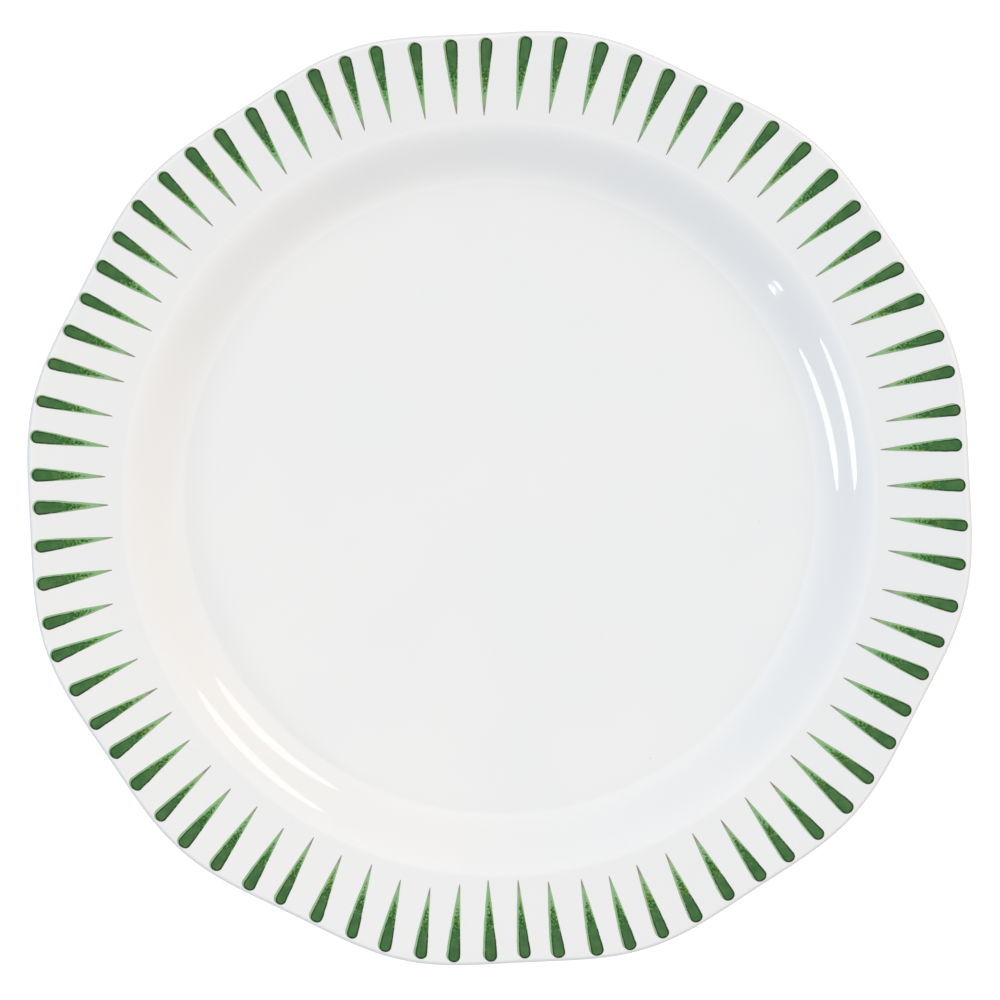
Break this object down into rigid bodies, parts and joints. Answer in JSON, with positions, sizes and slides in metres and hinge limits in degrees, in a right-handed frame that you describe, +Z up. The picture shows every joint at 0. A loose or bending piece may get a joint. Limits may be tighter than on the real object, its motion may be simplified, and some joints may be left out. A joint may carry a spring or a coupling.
{
  "type": "dinner plate",
  "caption": "Round china dinner plate with a flat well, a curved wall, a softly lobed rim bordered with raised green enamel strokes, and a foot ring underneath.",
  "frame": {"origin": "centre of the foot ring, on the plane that the plate rests on", "axes": "+Z up, out of the well; +X through the first enamel stroke, along the longer way of the slightly oval lip; +Y across it"},
  "size_m": [0.2806, 0.2774, 0.0223],
  "materials": {
    "bare_china": "matte",
    "white_glaze": "gloss",
    "green_enamel": "gloss"
  },
  "bodies": {
    "root": {"plate_body": "bare_china", "face_and_back_glaze": "white_glaze", "foot_recess_glaze": "white_glaze", "enamel_strokes_01": "green_enamel", "enamel_strokes_02": "green_enamel", "enamel_strokes_03": "green_enamel", "enamel_strokes_04": "green_enamel", "enamel_strokes_05": "green_enamel", "enamel_strokes_06": "green_enamel", "enamel_strokes_07": "green_enamel", "enamel_strokes_08": "green_enamel", "enamel_strokes_09": "green_enamel", "enamel_strokes_10": "green_enamel", "enamel_strokes_11": "green_enamel", "enamel_strokes_12": "green_enamel", "enamel_strokes_13": "green_enamel", "enamel_strokes_14": "green_enamel", "enamel_strokes_15": "green_enamel", "enamel_strokes_16": "green_enamel", "enamel_strokes_17": "green_enamel", "enamel_strokes_18": "green_enamel", "enamel_strokes_19": "green_enamel", "enamel_strokes_20": "green_enamel", "enamel_strokes_21": "green_enamel", "enamel_strokes_22": "green_enamel", "enamel_strokes_23": "green_enamel", "enamel_strokes_24": "green_enamel", "enamel_strokes_25": "green_enamel", "enamel_strokes_26": "green_enamel", "enamel_strokes_27": "green_enamel", "enamel_strokes_28": "green_enamel", "enamel_strokes_29": "green_enamel", "enamel_strokes_30": "green_enamel", "enamel_strokes_31": "green_enamel", "enamel_strokes_32": "green_enamel", "enamel_strokes_33": "green_enamel", "enamel_strokes_34": "green_enamel", "enamel_strokes_35": "green_enamel", "enamel_strokes_36": "green_enamel", "enamel_strokes_37": "green_enamel", "enamel_strokes_38": "green_enamel", "enamel_strokes_39": "green_enamel"}
  },
  "joints": []
}
